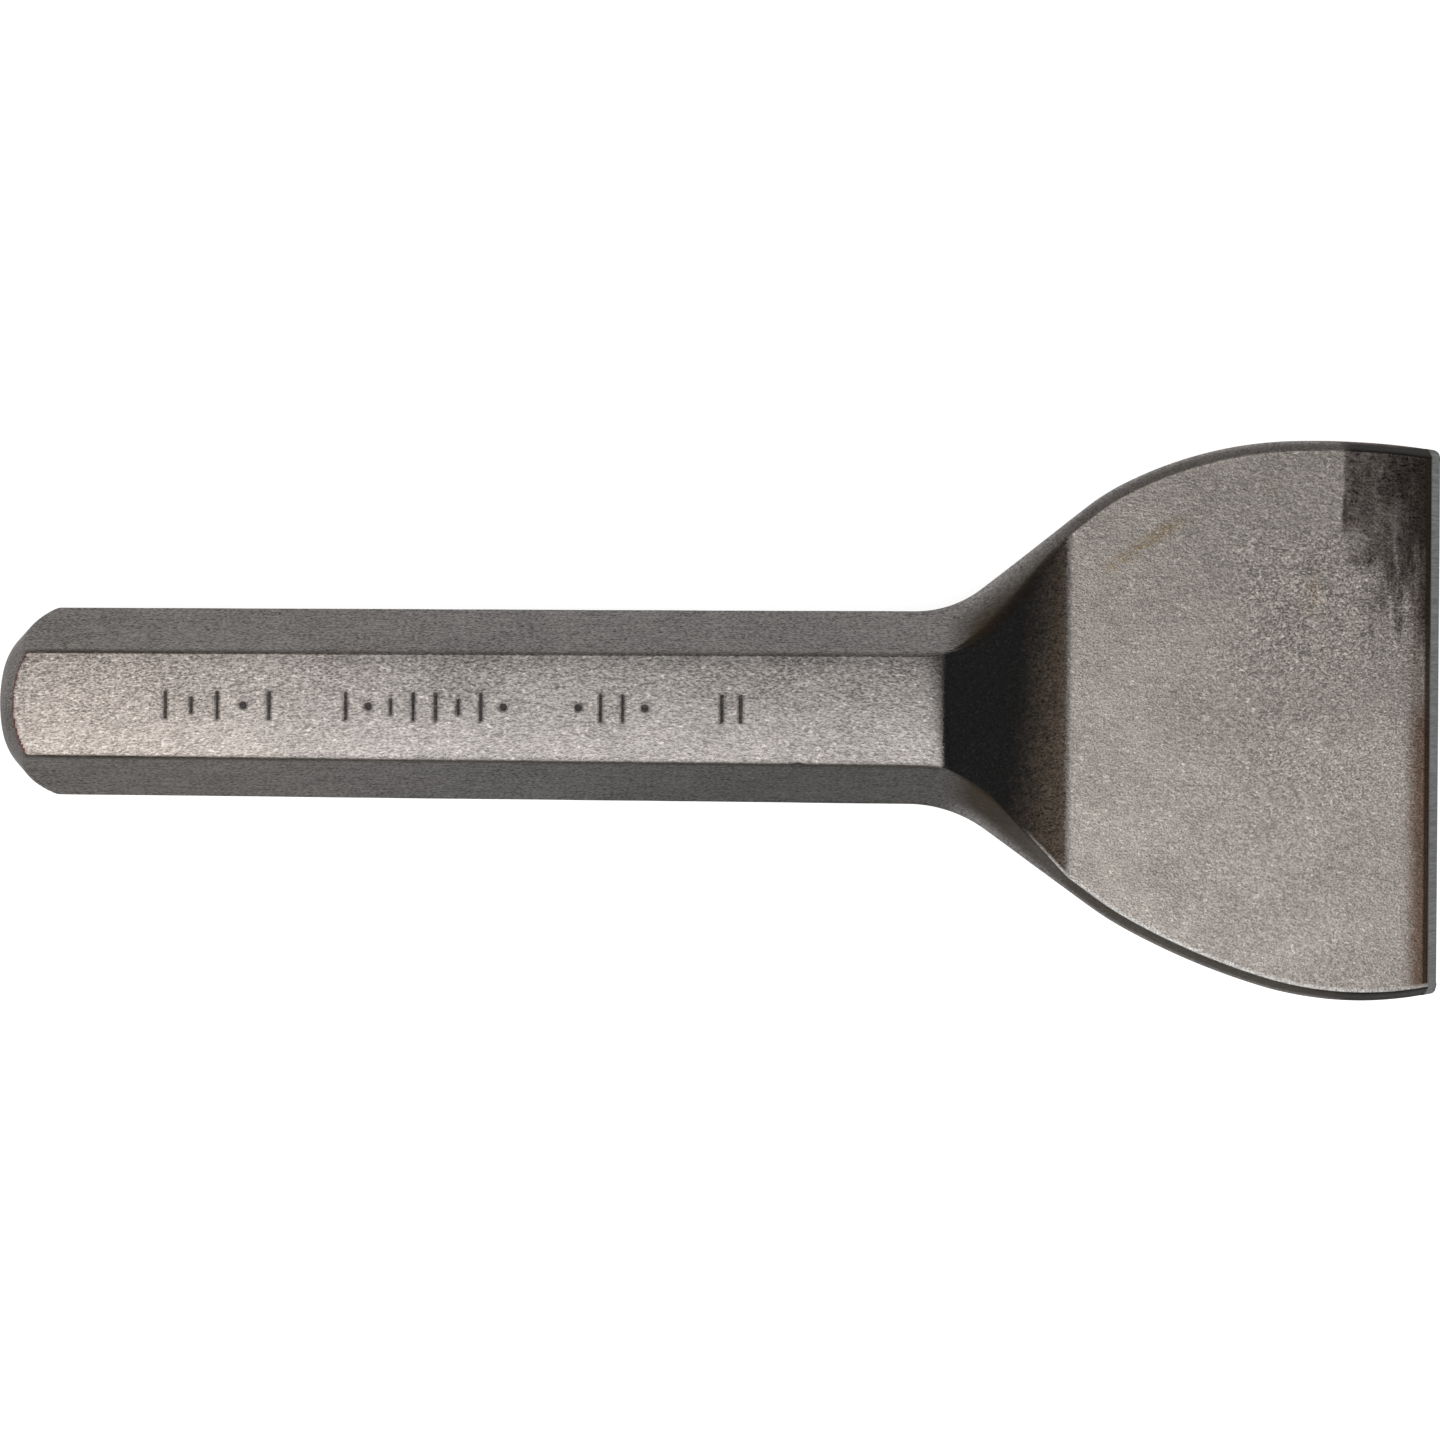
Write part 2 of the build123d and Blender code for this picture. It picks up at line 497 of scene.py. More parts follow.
def distance_to_mark(kind, dx, dy):
    """Distance outside the outline of one mark; it is negative inside."""
    if kind == "pip":
        return np.hypot(dx, dy) - PIP_RADIUS
    height = TALL_BAR if kind == "tall" else SHORT_BAR
    over_x = np.abs(dx) - BAR_WIDTH / 2 + MARK_CORNER
    over_y = np.abs(dy) - height / 2 + MARK_CORNER
    outside = np.hypot(np.maximum(over_x, 0.0), np.maximum(over_y, 0.0))
    return outside + np.minimum(np.maximum(over_x, over_y), 0.0) - MARK_CORNER


def mark_distance(x, y):
    """Distance from the nearest mark, for arrays of points on the upper flat."""
    nearest = np.full(x.shape, FAR)
    for kind, mark_x in mark_places():
        nearest = np.minimum(nearest, distance_to_mark(kind, x - mark_x, y))
    return nearest


def refine_marks(work):
    """Divide the upper flat finely where the punch marks go."""
    groups = []
    for group in MARK_GROUPS:
        end = group.start + (len(group.pattern) - 1) * group.pitch
        groups.append((group.start - MARK_MARGIN, end + MARK_MARGIN))
    reach = TALL_BAR / 2 + MARK_MARGIN * MARK_MARGIN_ACROSS
    chosen = set()
    for face in work.faces:
        middle = face.calc_center_median()
        on_top = middle.z > HALF_THICKNESS - ON_FACE
        if on_top and abs(middle.y) < reach and any(a < middle.x < b for a, b in groups):
            chosen.update(face.edges)
    bmesh.ops.subdivide_edges(work, edges=list(chosen), cuts=MARK_CUTS, use_grid_fill=True)


# -------- the piece

FORGING_WAVES = ((0.045, 9.0, 3.0), (0.022, 3.6, 11.0))  # depth, wavelength, offset
EDGE_RIPPLE = ((0.05, 4.0, 23.0), (0.03, 1.7, 37.0))  # the same, for leaning skin only
RIPPLE_LEAN = (0.1, 0.6)
WAVE_ASIDE = 0.7  # a wave's offset in Y, as a share of the one in X
GROUND_FROM = BEVEL_START - 0.3
GROUND_WAVES = 0.35  # the ground bevel keeps this share of the waves
SIDE_SWELL = 0.15  # makes up for the skin that the waves take off the sides
NICK = (108.8, -7.1)  # a knock in the lower edge of the upper flat
NICK_RADIUS = 0.9
NICK_DEPTH = 0.35
MERGE_DISTANCE = 1e-5
RIM_END = 1e-4  # a place this near to a stretch's start is at its start
FACE_NORMAL_Z = (0.6, 0.85)  # how nearly upright the normals of the faces stand
DOME_NORMAL_X = (0.25, 0.5)

# How dark the painted shade and how bright the painted highlight are, as shares of the material's
# full effect
NECK_SHADE = 0.94
NECK_SHADE_DROP = 0.45  # so much less at the lower end of the ramp
THIN_RIM_SHADE = (0.60, 0.66)  # on the left and the right of the blade
THICK_RIM_SHADE = 0.98
SHANK_SHADE_LINE = 0.80
SHANK_SHADE_LINE_DROP = 0.22  # so much less away from the striking end
# painted highlight along the ridge
RIDGE_HIGHLIGHT = 0.08


def wave(place, wavelength, offset):
    """Smooth noise from 0 to 1 with a given wavelength."""
    start = Vector((offset, offset * WAVE_ASIDE, 0.0))
    return 0.5 + 0.5 * noise.noise(place / wavelength + start)


def roughen(mesh):
    """Sink the skin a little by smooth noise, as hammering and scale leave it."""
    normals = [vertex.normal.copy() for vertex in mesh.vertices]
    for vertex, normal in zip(mesh.vertices, normals):
        depth = 0.0
        for amount, wavelength, offset in FORGING_WAVES:
            depth += amount * wave(vertex.co, wavelength, offset)
        if vertex.co.x > GROUND_FROM:
            depth *= GROUND_WAVES
        if RIPPLE_LEAN[0] < 1.0 - abs(normal.z) < RIPPLE_LEAN[1]:
            for amount, wavelength, offset in EDGE_RIPPLE:
                depth += amount * wave(vertex.co, wavelength, offset)
        depth -= SIDE_SWELL * abs(normal.y)
        if vertex.co.z > 0.0:
            away = math.hypot(vertex.co.x - NICK[0], vertex.co.y - NICK[1])
            depth += NICK_DEPTH * max(0.0, 1.0 - away / NICK_RADIUS)
        vertex.co -= normal * depth


def press_marks(mesh):
    """Sink the punch marks, each with a slight burr, and note how deep each point is."""
    places = vertex_numbers(mesh.vertices, "co")
    away = mark_distance(places[:, 0], places[:, 1])
    away[places[:, 2] < HALF_THICKNESS - MARK_SHALLOWEST] = FAR
    sunk = 1.0 - smooth_step(-MARK_WALL, 0.0, away)
    burr = np.exp(-((away - MARK_BURR_WIDTH) / MARK_BURR_WIDTH) ** 2)
    places[:, 2] -= MARK_DEPTH * sunk - MARK_BURR * burr
    mesh.vertices.foreach_set("co", places.ravel())
    store(mesh, "mark", np.maximum(sunk, MARK_BURR_SHADE * burr))


def store(mesh, name, values):
    """Keep one number for each point of a mesh, for the material to read."""
    layer = mesh.attributes.new(name, "FLOAT", "POINT")
    layer.data.foreach_set("value", np.asarray(values, dtype=np.float32))


def stored(mesh, name):
    """The numbers kept by store."""
    values = np.empty(len(mesh.vertices), dtype=np.float32)
    mesh.attributes[name].data.foreach_get("value", values)
    return values


def vertex_numbers(vertices, name):
    """One row of three numbers for each vertex."""
    numbers = np.empty(len(vertices) * 3)
    vertices.foreach_get(name, numbers)
    return numbers.reshape(-1, 3)


def rim_run(place):
    """How far across its rim each point is: 0 at the facet, 1 at the face, -1 off the rims."""
    stretch = np.floor(place)
    along = place - stretch
    run = np.full(len(place), -1.0)
    for rim, hand in RIM_STRETCHES.items():
        on_rim = stretch == rim
        run[on_rim] = along[on_rim] if hand == 1 else 1.0 - along[on_rim]
    return run


def height_share(x, height):
    """How far up its side facet each point is: 0 at the ridge, 1 at the face."""
    return np.minimum(1.0, np.abs(height) / half_thickness(x))


def neck_soot(x, share, right):
    """Painted shade on the side facets of the neck, which starts at the ridge."""
    start = smooth_step(FLAT_END - 1.0, FLAT_END + 5.0, x)
    neck = start * smooth_step(CREASE + 2.0, CREASE - 1.0, x)
    level = NECK_SHADE - NECK_SHADE_DROP * smooth_step(134.0, CREASE, x)
    full_from = np.where(right, 0.55, 0.80)
    return level * neck * smooth_step(0.0, full_from, share)


def blade_soot(x, share, right):
    """Painted shade on the rim of the blade: thin, and thick by the tips."""
    blade = smooth_step(CREASE - 1.0, CREASE + 2.0, x)
    tip = smooth_step(182.8, 184.4, x)
    full_from = 0.65 - 0.20 * tip - 0.20 * right
    thin = np.where(right, THIN_RIM_SHADE[1], THIN_RIM_SHADE[0])
    thick = np.where(right, smooth_step(170.0, 186.0, x), tip)
    level = thin + (THICK_RIM_SHADE - thin) * thick
    return level * blade * smooth_step(-0.5 * tip, full_from, share)


def shank_soot(x, share):
    """The dark line of painted shade just under each long edge of the shank's flats."""
    end = smooth_step(FLAT_END + 1.0, FLAT_END - 1.0, x)
    shank = end * smooth_step(DOME_DEPTH - 4.0, DOME_DEPTH, x)
    level = SHANK_SHADE_LINE - SHANK_SHADE_LINE_DROP * smooth_step(15.0, 60.0, x)
    return level * smooth_step(0.90, 0.985, share) * shank


def soot_levels(x, y, height, place):
    """How dark the painted shade lies on the side facets and on the rims."""
    right = y < 0.0
    share = height_share(x, height)
    soot = neck_soot(x, share, right) + blade_soot(x, share, right) + shank_soot(x, share)
    run = rim_run(place)
    on_facet = np.isin(np.floor(place), FACET_STRETCHES)
    return soot * np.where(run >= 0.0, smooth_step(1.0, 0.45, run), on_facet)


def highlight_levels(x, height, place):
    """How bright the painted highlight is: the lower rim most, the ridge of the blade a little.
    """
    run = rim_run(place)
    rim_end = np.abs(place - TOP_STRETCH) < RIM_END
    run[rim_end] = 1.0
    bright_rim = (np.floor(place) == UPPER_RIGHT_RIM) | rim_end
    start = smooth_step(CREASE - 7.0, CREASE + 1.0, x)
    length = 1.0 - 0.30 * smooth_step(178.0, 181.0, x) - 0.25 * smooth_step(183.0, 186.0, x)
    rim = start * length * smooth_step(0.45, 0.85, run) * bright_rim
    along = smooth_step(FLAT_END, FLAT_END + 6.0, x) * smooth_step(184.4, 180.0, x)
    ridge = RIDGE_HIGHLIGHT * along * smooth_step(0.35, 0.0, height_share(x, height))
    return np.maximum(rim, ridge)


def make_forging():
    """The forged chisel as one closed mesh in the row's frame."""
    vertices, faces, places = build_forging()
    mesh = bpy.data.meshes.new("forged_chisel_skin")
    mesh.from_pydata(vertices, [], faces)
    store(mesh, "place", places)
    work = bmesh.new()
    work.from_mesh(mesh)
    refine_marks(work)
    bmesh.ops.remove_doubles(work, verts=work.verts, dist=MERGE_DISTANCE)
    bmesh.ops.recalc_face_normals(work, faces=work.faces)
    work.to_mesh(mesh)
    work.free()
    mesh.update()
    x, y, z = vertex_numbers(mesh.vertices, "co").T
    normal_x, _, normal_z = vertex_numbers(mesh.vertices, "normal").T
    place = stored(mesh, "place")
    # marks the side facets and the dome, which the material paints darker as shade
    upright = 1.0 - smooth_step(*FACE_NORMAL_Z, np.abs(normal_z))
    store(mesh, "facet", np.maximum(upright, smooth_step(*DOME_NORMAL_X, -normal_x)))
    # painted shade on the neck's facets, the blade's rims and under the shank's edges
    store(mesh, "soot", soot_levels(x, y, z, place))
    # painted highlight along the lower rim and the ridge
    store(mesh, "painted_highlight", highlight_levels(x, z, place))
    mesh.attributes.remove(mesh.attributes["place"])
    roughen(mesh)
    press_marks(mesh)
    for vertex in mesh.vertices:
        x, y, z = vertex.co
        vertex.co = Vector((x + HEAD_X, y + AXIS_Y, z + MID_Z)) * MM
    for polygon in mesh.polygons:
        polygon.use_smooth = True
    mesh.update()
    piece = bpy.data.objects.new("forged_chisel_skin", mesh)
    bpy.context.collection.objects.link(piece)
    return piece


# -------- material nodes

class Shade:
    """Short names for the nodes that a material is made of."""

    def __init__(self, name):
        self.material = bpy.data.materials.new(name)
        self.material.use_nodes = True
        self.tree = self.material.node_tree
        self.tree.nodes.clear()

    def node(self, kind, feeds=(), **settings):
        """Add a node, set its properties and feed its sockets, given with their values."""
        added = self.tree.nodes.new(kind)
        for key, value in settings.items():
            setattr(added, key, value)
        for socket, value in feeds:
            self.feed(value, added.inputs[socket])
        return added

    def feed(self, value, socket):
        """Give a socket a link or a plain value; a colour may leave out its alpha."""
        if isinstance(value, bpy.types.NodeSocket):
            self.tree.links.new(value, socket)
        elif isinstance(value, tuple) and socket.type == "RGBA":
            socket.default_value = value + (1.0,)
        else:
            socket.default_value = value

    def attribute(self, name):
        """A number kept on the points of the mesh."""
        return self.node("ShaderNodeAttribute", attribute_name=name).outputs["Fac"]

    def math(self, operation, a, b=0.0, clamp=False):
        """One arithmetic step."""
        feeds = enumerate((a, b))
        return self.node("ShaderNodeMath", feeds, operation=operation, use_clamp=clamp).outputs[0]

    def vector_math(self, operation, *vectors):
        """One arithmetic step on vectors."""
        feeds = enumerate(vectors)
        return self.node("ShaderNodeVectorMath", feeds, operation=operation).outputs[0]

    def larger(self, a, b):
        """The larger of two values."""
        return self.math("MAXIMUM", a, b)

    def total(self, *parts):
        """The sum of several values."""
        result = parts[0]
        for part in parts[1:]:
            result = self.math("ADD", result, part)
        return result

    def times(self, *factors, clamp=False):
        """The product of several values, kept within 0 and 1 if clamp is set."""
        product = factors[0]
        for factor in factors[1:]:
            product = self.math("MULTIPLY", product, factor, clamp and factor is factors[-1])
        return product

    def invert(self, value):
        """One minus a value."""
        return self.math("SUBTRACT", 1.0, value)

    def swing(self, value, amount):
        """A noise value moved from about 0.5 to swing about 0 by an amount."""
        return self.times(self.math("SUBTRACT", value, 0.5), amount)

    def mix(self, factor, base, other):
        """Two numbers mixed by a factor."""
        return self.total(base, self.times(factor, self.math("SUBTRACT", other, base)))

    def rise(self, value, low, high):
        """0 at low and 1 at high, eased between them; low may be the larger."""
        (start, begins), (end, ends) = sorted(((low, 0.0), (high, 1.0)))
        feeds = (
            ("Value", value), ("From Min", start), ("From Max", end),
            ("To Min", begins), ("To Max", ends),
        )
        added = self.node("ShaderNodeMapRange", feeds, interpolation_type="SMOOTHSTEP")
        return added.outputs["Result"]

    def band(self, value, low, high, ease):
        """1 between low and high, with eased edges."""
        return self.times(
            self.rise(value, low - ease, low + ease),
            self.rise(value, high + ease, high - ease),
        )

    def tint(self, factor, base, other):
        """Two colours mixed by a factor."""
        feeds = (("Factor", factor), ("A", base), ("B", other))
        return self.node("ShaderNodeMix", feeds, data_type="RGBA").outputs["Result"]

    def scaled_colour(self, colour, amount):
        """A colour made lighter or darker by a linked amount."""
        feeds = ((0, colour), ("Scale", amount))
        return self.node("ShaderNodeVectorMath", feeds, operation="SCALE").outputs[0]

    def surface(self, *feeds):
        """The material's own surface, with the values of its sockets."""
        principled = self.node("ShaderNodeBsdfPrincipled", feeds)
        self.node("ShaderNodeOutputMaterial", (("Surface", principled.outputs[0]),))


# -------- forged steel

SCALE_GREY = (0.478, 0.445, 0.424)
SCALE_WARM = (0.525, 0.463, 0.420)
BLADE_GREY = (0.388, 0.352, 0.322)
# the side facets and the dome: the steel painted darker, as shade
FACET_SHADED_GREY = (0.139, 0.131, 0.127)
FACET_SHADED_WARM = (0.140, 0.129, 0.121)
# dark browns of the painted shade on facets and rims; the first also draws the line beside the
# bevel
DARK_BROWN = (0.032, 0.024, 0.0165)
SHADE_AT_EDGE = (0.016, 0.014, 0.012)
# the colour of the painted highlight along the rims
HIGHLIGHT_COLOUR = (0.95, 0.925, 0.90)
# painted shade on the ramps
RAMP_SHADE_BLACK = (0.0235, 0.0228, 0.0224)
RAMP_SHADE_BROWN = (0.117, 0.091, 0.069)
OXIDE_DARK = (0.080, 0.066, 0.061)
OXIDE_BLACK = (0.024, 0.021, 0.020)
HEAT_AMBER = (0.138, 0.090, 0.065)
GROUND_STEEL = (0.129, 0.132, 0.131)
RUST = (0.295, 0.230, 0.152)
LINE_BROWN = (0.150, 0.062, 0.050)
MARK_SHADE = (0.03, 0.027, 0.026)

# Noises, with so many features to the millimetre along X, Y and Z
Grain = namedtuple("Grain", "per_mm detail rough shift distortion", defaults=(0.0, 0.0))
SHIFT_HEADING = (1.0, 0.37, 0.61)
DRAWN_OUT = Grain((2.2, 4.1, 4.1), 2.0, 0.6)
BEATEN = Grain((3.3, 4.1, 4.1), 2.0, 0.6)
GRAIN = Grain((0.9, 1.7, 1.7), 1.0, 0.5, 7.0)
BLOTCH = Grain((0.36, 0.45, 0.45), 2.0, 0.5, 19.0)
MOTTLE = Grain((0.10, 0.13, 0.13), 2.0, 0.5, 31.0)
STREAK = Grain((0.22, 3.2, 3.2), 2.0, 0.6, 53.0)
GLINT = Grain((1.5, 2.6, 2.6), 1.0, 0.5, 71.0)
PIT = Grain((0.8, 1.1, 1.1), 1.0, 0.5, 83.0)
FOLD = Grain((0.85, 1.25, 1.0), 2.0, 0.55, 97.0, 0.6)
SMEAR = Grain((0.75, 0.13, 0.3), 3.0, 0.6, 113.0)
CLOUD = Grain((0.22, 0.16, 0.2), 2.0, 0.5, 131.0)
GRIND = Grain((0.3, 5.0, 0.3), 2.0, 0.6, 151.0)

# Where a look begins and where it is full, along one axis
HEAD_END_X = (70.0, 10.0)
# painted shade along the flats' +Y border and towards their end
FLAT_EDGE_SHADE_Y = (4.6, 7.2)
FLAT_END_SHADE_X = (125.6, 129.0)
WRINKLES_X = (166.0, 173.0)
# painted shade in the middle of the dome
DOME_SHADE_X = (2.8, 1.4)
DOME_LINE_X = (7.5, 6.5)
# where the ramps' painted shade turns brown
WARM_RAMP_X = (FLAT_END + 9.5, FLAT_END + 18.0)
CORNER_X = (182.7, 183.4)
CORNER_Y = (22.6, 26.4)
SMEARED_X = (183.4, 187.0)
SMEARED_Y = (7.5, 22.5)
BLACKEST_X = (187.5, 194.0)
BESIDE_BEVEL_X = (BEVEL_START - 3.5, BEVEL_START - 1.0)
HEAT_X = (BEVEL_START - 4.1, BEVEL_START - 1.2)
# where the painted shade turns darkest towards the cutting edge
SHADE_AT_EDGE_X = (181.0, 185.0)

RUST_PLACE = (155.8, 22.4)
RUST_HEADING = (0.823, 0.568)  # cosine and sine of the rust streak's angle to X
DARKEST_SPECKLE = -0.5
LEAST_LEVEL = 0.12
COVER = 0.9  # how fully a dark line, stain or mark covers what is under it
BUMP_DEPTH = 0.10
CALM_RELIEF = 0.35  # the side facets and the ground bevel keep this much relief
ROUGHNESS = 0.42
GRAZING_TINT = (0.65, 0.65, 0.65)


class ForgedSteel(Shade):
    """Dull grey forging scale, with a neck darkened by painted shade, heat tints and a ground
    edge.
    """

    def __init__(self):
        super().__init__("forged_steel")
        self.place = self.place_in_mm()
        self.x, self.y, self.z = self.node("ShaderNodeSeparateXYZ", ((0, self.place),)).outputs
        self.facet, self.mark = self.attribute("facet"), self.attribute("mark")
        self.soot, self.painted_highlight = self.attribute("soot"), self.attribute("painted_highlight")
        self.upper = self.rise(self.z, 0.0, 0.5)
        self.right_side = self.rise(self.y, 0.0, -1.0)
        self.head_end = self.rise(self.x, *HEAD_END_X)
        self.on_blade = self.rise(self.x, CREASE - 1.0, CREASE + 1.0)
        self.ground = self.rise(self.x, BEVEL_START - 0.05, BEVEL_START + 0.15)
        self.add_grain()
        self.add_wrinkles()
        self.level = self.scale_level()

        # the side facets and the dome in their painted shade
        colour = self.tint(self.facet, self.bare_scale(), self.shaded_side_facets())
        colour = self.with_dome_line(colour)
        # painted shade on the ramps
        colour = self.with_ramp_shade(colour)
        colour = self.with_stains(colour)
        patch, oxide = self.corner_patch()
        colour = self.tint(patch, colour, oxide)
        colour = self.with_ground_edge(colour, patch)
        # painted shade on the neck's facets and on the rims
        colour = self.with_soot(colour)
        # painted highlight along the rims
        highlight = self.highlight_share()
        colour = self.tint(highlight, colour, HIGHLIGHT_COLOUR)
        colour = self.tint(self.times(self.mark, COVER), colour, MARK_SHADE)
        self.add_surface(colour, highlight)

    def place_in_mm(self):
        """Each point's place in the forging's own millimetres."""
        place = self.node("ShaderNodeTexCoord").outputs["Object"]
        per_metre = (1.0 / MM,) * 3
        return self.vector_math("MULTIPLY_ADD", place, per_metre, (-HEAD_X, -AXIS_Y, -MID_Z))

    def noise(self, grain):
        """Smooth noise in the forging's millimetres."""
        shift = [grain.shift * part for part in SHIFT_HEADING]
        return self.node("ShaderNodeTexNoise", (
            ("Vector", self.vector_math("MULTIPLY_ADD", self.place, grain.per_mm, shift)),
            ("Scale", 1.0),
            ("Detail", grain.detail),
            ("Roughness", grain.rough),
            ("Distortion", grain.distortion),
        )).outputs["Fac"]

    def add_grain(self):
        """The noises that the scale is made of, from fine to broad, and its specks."""
        self.fine = self.mix(self.on_blade, self.noise(DRAWN_OUT), self.noise(BEATEN))
        self.grain = self.noise(GRAIN)
        self.blotch = self.noise(BLOTCH)
        self.mottle = self.noise(MOTTLE)
        self.streak = self.noise(STREAK)
        self.glint = self.rise(self.noise(GLINT), 0.62, 0.72)
        self.pit = self.rise(self.noise(PIT), 0.30, 0.24)

    def add_wrinkles(self):
        """Wrinkled scale on the upper face of the blade, mostly on its +Y half."""
        most = self.total(self.y, self.swing(self.blotch, 12.0))
        some = self.total(self.y, self.swing(self.blotch, 8.0))
        self.wrinkled = self.times(
            self.upper,
            self.rise(self.total(self.x, self.swing(self.mottle, 20.0)), *WRINKLES_X),
            self.total(
                self.times(self.band(most, 6.0, 24.0, 4.0), 0.55),
                self.times(self.band(some, -12.0, 24.0, 5.0), 0.45),
            ),
        )
        fold = self.math("ABSOLUTE", self.math("SUBTRACT", self.noise(FOLD), 0.5))
        self.crease = self.times(self.rise(fold, 0.055, 0.0), self.wrinkled)

    def shank_tone_and_light(self):
        """How light the shank's flats are: lighter towards -Y as painted light, with a darker +Y
        border and end as painted shade.
        """
        light = self.total(
            0.66,
            # lighter towards -Y: painted light
            self.times(self.rise(self.y, 8.0, -8.0), 0.46),
            self.times(self.head_end, 0.20),
            # darker along the +Y border: painted shade
            self.times(
                self.rise(self.total(self.y, self.swing(self.blotch, 2.0)), *FLAT_EDGE_SHADE_Y), -0.16
            ),
            self.times(self.rise(self.x, 70.0, 115.0), -0.07),
        )
        ragged = self.total(self.x, self.swing(self.grain, 1.0), self.times(self.y, 0.12))
        # darker towards the end of the flat, where the ramp's painted shade begins
        end_shade = self.rise(ragged, *FLAT_END_SHADE_X)
        return self.times(light, self.total(1.0, self.times(end_shade, -0.7)))

    def blade_tone_and_light(self):
        """How light the blade is: lighter towards -Y and towards the neck as painted light, with
        broad lighter and darker places.
        """
        x, y = self.x, self.y
        return self.total(
            0.90,
            # lighter towards -Y and towards the neck: painted light
            self.times(self.rise(y, 34.0, -36.0), 0.29),
            self.times(self.rise(x, 190.0, 140.0), 0.12),
            self.times(self.rise(x, 165.0, 180.0), self.rise(y, 2.0, -5.0), 0.06),
            self.times(self.rise(x, 174.0, 182.0), self.band(y, -14.0, -3.0, 3.0), 0.09),
            self.times(self.rise(x, 183.0, 187.0), self.band(y, 0.5, 5.0, 2.5), -0.10),
            self.times(self.wrinkled, 0.12),
        )

    def scale_level(self):
        """How light the scale is at each point, with its grain, specks and wrinkles, and its
        painted light and shade.
        """
        smoother = self.times(self.rise(self.y, 5.0, -5.0), self.invert(self.on_blade))
        contrast = self.total(
            1.0,
            self.times(self.on_blade, -0.34),
            self.times(self.wrinkled, 0.40),
            self.times(smoother, -0.28),
        )
        speckle = self.total(
            self.swing(self.fine, 3.6),
            self.swing(self.grain, 0.6),
            # the glints are painted highlights
            self.times(self.glint, 0.75),
            # the pits and the wrinkles' creases are darker: painted shade in these hollows
            self.times(self.pit, -0.20),
            self.times(self.crease, -0.32),
        )
        calmer = self.total(1.0, self.times(self.wrinkled, -0.5))
        level = self.total(
            1.0,
            self.times(self.larger(speckle, DARKEST_SPECKLE), contrast),
            self.swing(self.blotch, 0.30),
            self.times(self.swing(self.mottle, 0.45), calmer),
        )
        # the flats' and the blade's tone, with their painted light and shade
        tone_and_light = self.mix(self.on_blade, self.shank_tone_and_light(), self.blade_tone_and_light())
        return self.larger(self.times(level, tone_and_light), LEAST_LEVEL)

    def bare_scale(self):
        """The colour of bare forging scale on the flats and the blade."""
        shank = self.tint(self.head_end, SCALE_GREY, SCALE_WARM)
        return self.scaled_colour(self.tint(self.on_blade, shank, BLADE_GREY), self.level)

    def shaded_side_facets(self):
        """The colour of the side facets and the dome: a darker grey as painted shade, darker
        still on the -Y side and in the dome's middle, with fine lines along the bar.
        """
        # darker on the -Y side: painted shade
        side_shade = self.times(
            self.right_side,
            self.total(
                0.23,
                self.times(self.rise(self.x, 40.0, 115.0), 0.29),
                self.times(self.rise(self.x, 127.0, 134.0), -0.30),
            ),
        )
        grained = self.total(
            1.0,
            self.swing(self.streak, 0.9),
            self.swing(self.fine, 3.6),
            self.swing(self.mottle, 0.40),
        )
        # darker in the middle of the dome: painted shade
        dome_shade = self.rise(self.x, *DOME_SHADE_X)
        level = self.times(
            grained,
            self.invert(side_shade),
            self.total(1.0, self.times(dome_shade, -0.20)),
        )
        return self.scaled_colour(self.tint(self.head_end, FACET_SHADED_GREY, FACET_SHADED_WARM), level)

    def with_dome_line(self, colour):
        """Add a thin reddish line where the upper flat meets the dome."""
        border = self.band(self.facet, 0.12, 0.88, 0.12)
        line = self.times(border, self.rise(self.x, *DOME_LINE_X), self.upper)
        return self.tint(self.times(line, COVER), colour, LINE_BROWN)

    def with_ramp_shade(self, colour):
        """Add the ramps' painted shade: black, then speckled brown and less dark towards the
        crease.
        """
        ragged = self.total(self.x, self.swing(self.fine, 1.6))
        on_ramp = self.band(ragged, FLAT_END, CREASE - 0.3, 0.22)
        on_ramp = self.times(on_ramp, self.invert(self.facet))
        warm_x = self.total(
            self.x,
            self.swing(self.blotch, 3.0),
            self.swing(self.grain, 3.0),
            self.times(self.y, -0.09),
        )
        warm = self.times(
            self.rise(warm_x, *WARM_RAMP_X),
            self.total(1.0, self.times(self.rise(self.y, 4.0, 22.0), -0.22)),
        )
        brown_level = self.total(
            1.1,
            self.swing(self.fine, 4.0),
            self.swing(self.grain, 0.8),
            self.times(self.rise(self.x, CREASE - 2.0, CREASE - 0.3), 0.25),
        )
        # with painted glints on the ramp's black
        black_level = self.total(1.0, self.swing(self.fine, 1.6), self.times(self.glint, 0.6))
        # the ramps' painted shade: black, turning brown towards the crease
        brown = self.scaled_colour(RAMP_SHADE_BROWN, brown_level)
        black = self.scaled_colour(RAMP_SHADE_BLACK, black_level)
        return self.tint(on_ramp, colour, self.tint(warm, black, brown))

    def with_stains(self, colour):
        """Add a rust streak and two small stains on the upper face of the blade."""
        x, y = self.x, self.y
        from_x, from_y = self.total(x, -RUST_PLACE[0]), self.total(y, -RUST_PLACE[1])
        cos, sin = RUST_HEADING
        along = self.total(self.times(from_x, cos), self.times(from_y, sin))
        aside = self.total(self.times(from_x, -sin), self.times(from_y, cos))
        rust = self.times(self.band(along, -6.0, 6.0, 2.2), self.band(aside, -0.7, 0.7, 0.9))
        spot = self.times(self.band(x, 172.3, 173.9, 1.2), self.band(y, 29.6, 31.4, 1.2))
        olive = self.times(self.band(x, 178.4, 179.8, 1.0), self.band(y, 13.5, 18.5, 1.8))
        stain = self.total(rust, self.times(spot, 0.4), self.times(olive, 0.6))
        stain = self.times(stain, self.upper, self.rise(self.grain, 0.30, 0.58), COVER)
        return self.tint(stain, colour, self.scaled_colour(RUST, self.level))

